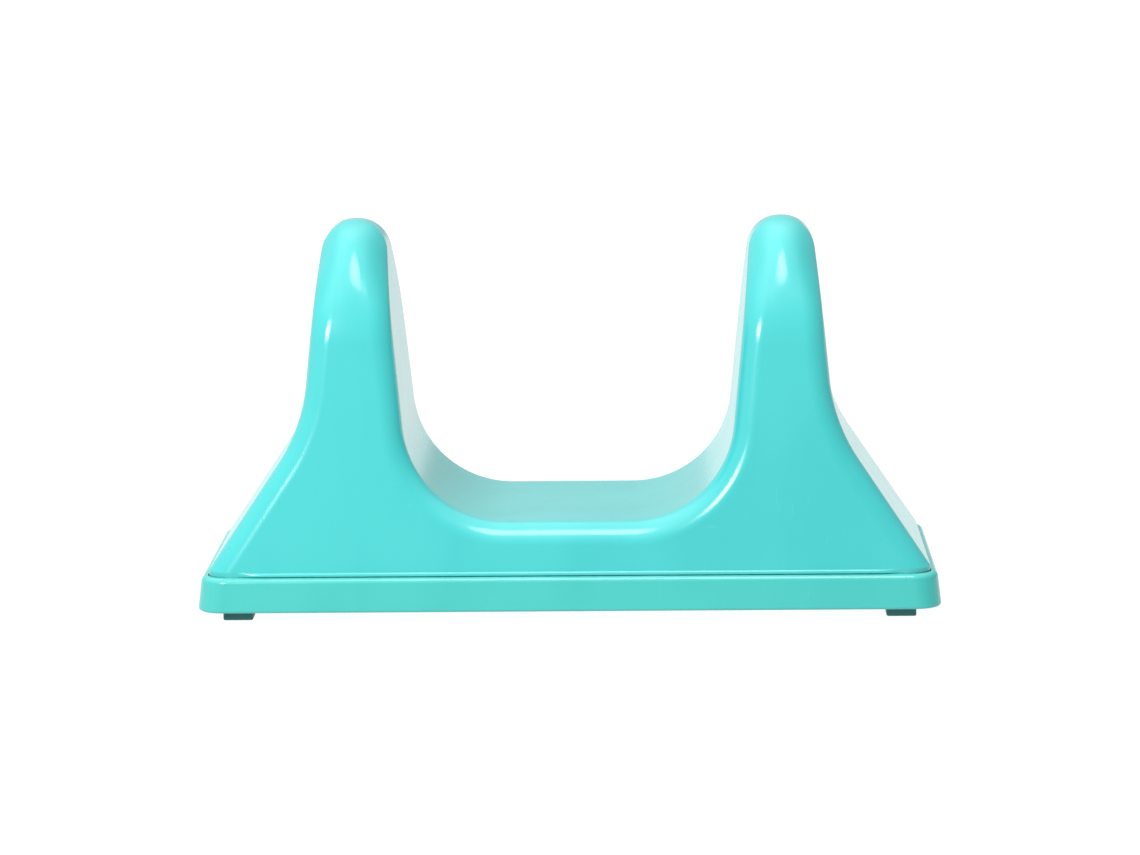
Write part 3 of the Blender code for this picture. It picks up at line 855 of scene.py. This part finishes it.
def addEffect(tree, name, **values):        # puts a shared effect in a material with its own values
    node = tree.nodes.new("ShaderNodeGroup")
    node.node_tree = effects[name]
    for label, value in values.items():
        node.inputs[label.replace("_", " ")].default_value = value
    return node.outputs


def blend(tree, factor, a, b, kind="MIX"):
    node = tree.nodes.new("ShaderNodeMix")
    node.data_type = "RGBA"
    node.blend_type = kind
    feed(tree, factor, node.inputs["Factor"])
    feed(tree, a if isinstance(a, bpy.types.NodeSocket) else (*a, 1), node.inputs["A"])
    feed(tree, b if isinstance(b, bpy.types.NodeSocket) else (*b, 1), node.inputs["B"])
    return node.outputs["Result"]


def makeFinish(name, values, metallic=0.0, seamHeight=-1.0):
    material = bpy.data.materials.new(name)
    material.use_nodes = True
    tree = material.node_tree
    shader = tree.nodes["Principled BSDF"]
    shader.inputs["Metallic"].default_value = metallic
    skin = addEffect(tree, "mould_grain", Grain_Scale=values["grainScale"],
                     Grain_Depth=values["grainDepth"], Flow_Depth=values["flowDepth"])
    hands = addEffect(tree, "handling_wear", Amount=values["scuffs"])
    dust = addEffect(tree, "settled_dust", Amount=values["dust"],
                     Seam_Height=seamHeight, Seam_Reach=seamReach)
    edges = addEffect(tree, "edge_wear", Amount=values["edgeWear"])
    lighter = tuple(paleShare + (1 - paleShare) * part for part in values["colour"])
    colour = blend(tree, skin["Streaks"], values["colour"], values["deepColour"])
    colour = blend(tree, edges["Wear"], colour, lighter)
    colour = blend(tree, hands["Scuffs"], colour, lighter)
    colour = blend(tree, dust["Dust"], colour, dustColour)
    tree.links.new(colour, shader.inputs["Base Color"])
    rough = maths(tree, "MULTIPLY", skin["Grain"], roughening["grain"])
    rough = maths(tree, "ADD", rough, values["roughness"] - roughening["grain"] / 2)
    rough = maths(tree, "ADD", rough, maths(tree, "MULTIPLY", hands["Smears"], roughening["smears"]))
    rough = maths(tree, "ADD", rough, hands["Scuffs"])
    rough = maths(tree, "ADD", rough, maths(tree, "MULTIPLY", dust["Dust"], roughening["dust"]), clamp=True)
    tree.links.new(rough, shader.inputs["Roughness"])
    bump = tree.nodes.new("ShaderNodeBump")
    bump.inputs["Distance"].default_value = 1.0
    tree.links.new(skin["Height"], bump.inputs["Height"])
    tree.links.new(bump.outputs["Normal"], shader.inputs["Normal"])
    return material


def paint(piece, material):
    piece.data.materials.clear()
    piece.data.materials.append(material)


paint(shell, makeFinish("glossy_shell_plastic", finish["shell"], seamHeight=beadFoot))
paint(trayPiece, makeFinish("glossy_tray_plastic", finish["tray"], seamHeight=trayHigh.z))
# the feet's finish: dark rubber with painted shade in its colour
rubber = makeFinish("foot_rubber", finish["rubber"])
steel = makeFinish("zinc_screw_steel", finish["steel"], metallic=1.0)
adhesive = makeFinish("adhesive_foam", finish["adhesive"])
for piece in footPieces:
    paint(piece, rubber)
for piece in screwPieces:
    paint(piece, steel)
for piece in adhesivePieces:
    paint(piece, adhesive)
print("finishes ready")

# ---- camera ----

view = {
    "distance": 1.784,
    "pitch": math.radians(8.85),
    "yaw": math.radians(-1.2),
    "roll": math.radians(-0.6),
    "aimX": -0.0001,
    "aimZ": 0.0679,
    "focal": 138.63,
}


def makeCamera():
    pitch, roll = view["pitch"], view["roll"]
    forward = Vector((0, math.cos(pitch), -math.sin(pitch)))
    up = Vector((0, math.sin(pitch), math.cos(pitch)))
    side = Vector((1, 0, 0))
    turn = Matrix.Rotation(-view["yaw"], 3, "Z")
    place = turn @ (Vector((view["aimX"], 0, view["aimZ"])) - view["distance"] * forward)
    rightward = side * math.cos(roll) + up * math.sin(roll)
    upward = up * math.cos(roll) - side * math.sin(roll)
    axes = (rightward, upward, -forward)
    data = bpy.data.cameras.new("camera")
    data.lens = view["focal"]
    camera = bpy.data.objects.new("camera", data)
    bpy.context.scene.collection.objects.link(camera)
    turned = Matrix([turn @ axis for axis in axes]).transposed().to_4x4()
    camera.matrix_world = Matrix.Translation(place) @ turned
    bpy.context.scene.camera = camera


makeCamera()

# ---- floor and light ----

studio = {
    "roomLeft": 0.90,           # the pale room is lighter on the left
    "roomRight": 0.35,
    "roomAbove": 3.5,           # and this much lighter overhead
    "roomSeen": 1.0,            # what the camera sees past the floor's edge
    "floorSize": 40,
    "floorColour": (0.08, 0.08, 0.08),
    "floorCloud": 1.1,          # the floor's paler patches, against its colour
    "floorGlow": 0.96,
    "aimHeight": 0.068,
    "lights": {                 # degrees to the left of the front, degrees up, distance, size, power
        "key_light": (27, 28, 1.1, (0.34, 0.32), 6.6),
        "top_light": (-5, 71, 1.5, (0.56, 0.66), 7.5),
    },
}


def makeRoom():
    world = bpy.data.worlds.new("pale_room")
    bpy.context.scene.world = world
    world.use_nodes = True
    tree = world.node_tree
    background = tree.nodes["Background"]
    background.inputs["Color"].default_value = (1, 1, 1, 1)
    towards = tree.nodes.new("ShaderNodeSeparateXYZ")
    tree.links.new(tree.nodes.new("ShaderNodeTexCoord").outputs["Generated"], towards.inputs["Vector"])
    sideways = ramp(tree, towards.outputs["X"], -1.0, 1.0, studio["roomLeft"], studio["roomRight"])
    upwards = ramp(tree, towards.outputs["Z"], 0.45, 0.95, 1.0, studio["roomAbove"])
    rays = tree.nodes.new("ShaderNodeLightPath")
    seen = tree.nodes.new("ShaderNodeMix")
    tree.links.new(rays.outputs["Is Camera Ray"], seen.inputs["Factor"])
    tree.links.new(maths(tree, "MULTIPLY", sideways, upwards), seen.inputs["A"])
    seen.inputs["B"].default_value = studio["roomSeen"]
    tree.links.new(seen.outputs["Result"], background.inputs["Strength"])


def makeFloor():
    deselectAll()
    bpy.ops.mesh.primitive_plane_add(size=studio["floorSize"], location=(0, 0, 0))
    floor = named("floor")
    material = bpy.data.materials.new("pale_floor")
    material.use_nodes = True
    tree = material.node_tree
    shader = tree.nodes["Principled BSDF"]
    cloud = noise(tree, objectPlace(tree), 3.0)
    paler = [part * studio["floorCloud"] for part in studio["floorColour"]]
    tree.links.new(blend(tree, cloud, studio["floorColour"], paler), shader.inputs["Base Color"])
    shader.inputs["Roughness"].default_value = 0.95
    shader.inputs["Specular IOR Level"].default_value = 0.0
    shader.inputs["Emission Color"].default_value = (1, 1, 1, 1)
    shader.inputs["Emission Strength"].default_value = studio["floorGlow"]
    paint(floor, material)
    floor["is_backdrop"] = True


def makeSoftbox(name, place, size, power):      # an oval of light that faces the object
    data = bpy.data.lights.new(name, "AREA")
    data.shape = "ELLIPSE"
    data.size, data.size_y = size
    data.energy = power
    box = bpy.data.objects.new(name, data)
    bpy.context.scene.collection.objects.link(box)
    place, aim = Vector(place), Vector((0, 0, studio["aimHeight"]))
    box.location = place
    box.rotation_euler = (aim - place).to_track_quat("-Z", "Y").to_euler()
    box.visible_camera = False


def aroundObject(azimuth, elevation, distance):     # azimuth to the left of the front
    level = distance * math.cos(elevation)
    return (-level * math.sin(azimuth), -level * math.cos(azimuth), distance * math.sin(elevation))


makeRoom()
makeFloor()
for name, (azimuth, elevation, distance, size, power) in studio["lights"].items():
    makeSoftbox(name, aroundObject(math.radians(azimuth), math.radians(elevation), distance), size, power)
bpy.context.scene.view_settings.view_transform = "Standard"
print("camera, floor and lights ready")

low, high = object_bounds()
